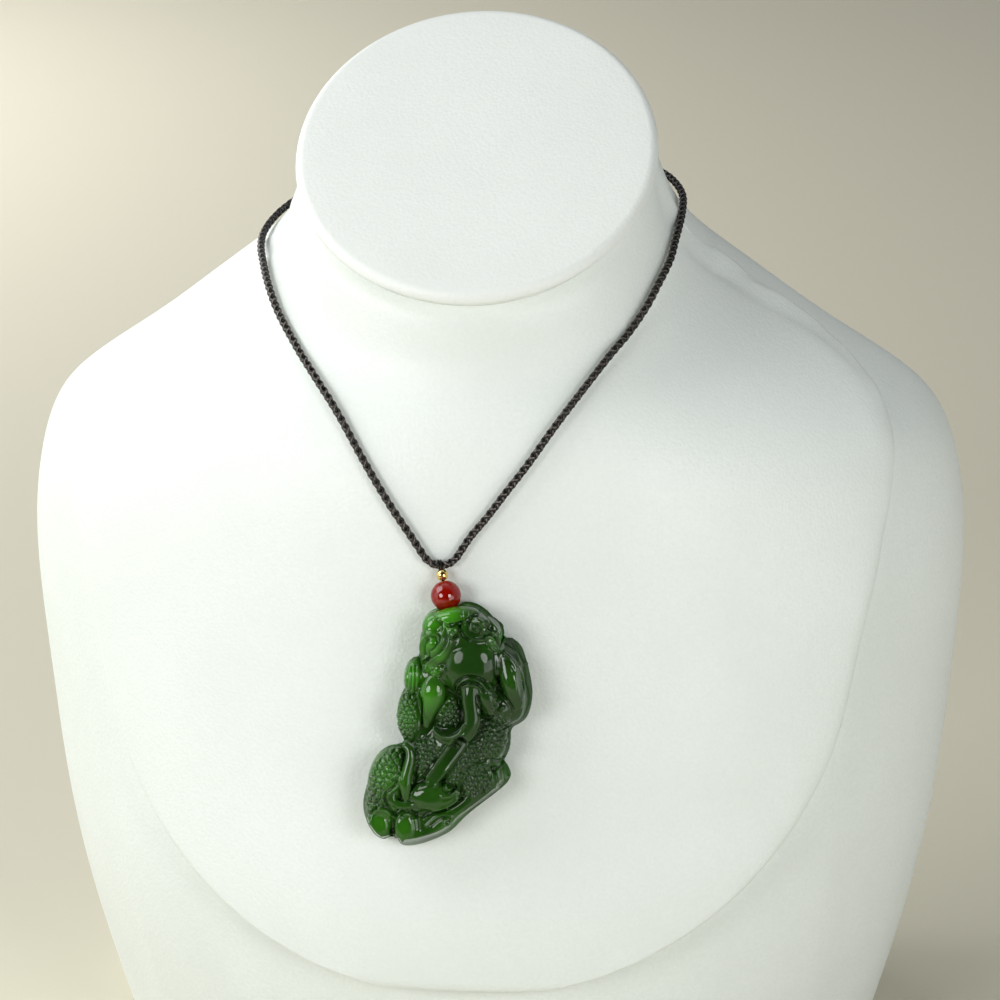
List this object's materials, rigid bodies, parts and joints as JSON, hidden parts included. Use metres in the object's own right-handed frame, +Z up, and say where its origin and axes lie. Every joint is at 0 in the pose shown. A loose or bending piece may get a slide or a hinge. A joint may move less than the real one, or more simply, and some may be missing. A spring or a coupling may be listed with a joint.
{
  "type": "pixiu pendant necklace on neck bust",
  "caption": "Carved green jade pixiu pendant with red agate and gold beads on a braided cord, worn on a white leatherette neck bust with a slanted cap.",
  "frame": {"origin": "on the surface that the bust stands on, under the middle of the object without its cord", "axes": "+Z up, the bust faces -Y and its shoulders run along X"},
  "size_m": [0.2396, 0.133, 0.2615],
  "materials": {
    "leatherette": "satin, fine grain",
    "cord": "waxed braid",
    "thread": "waxed",
    "gold": "polished",
    "agate": "polished",
    "jade": "polished"
  },
  "bodies": {
    "root": {"bust_body": "leatherette", "bust_front": "leatherette", "neck_cap": "leatherette", "neck_cord": "cord", "hang_thread": "thread", "gold_bead": "gold", "red_bead": "agate", "jade_pixiu": "jade"}
  },
  "joints": []
}
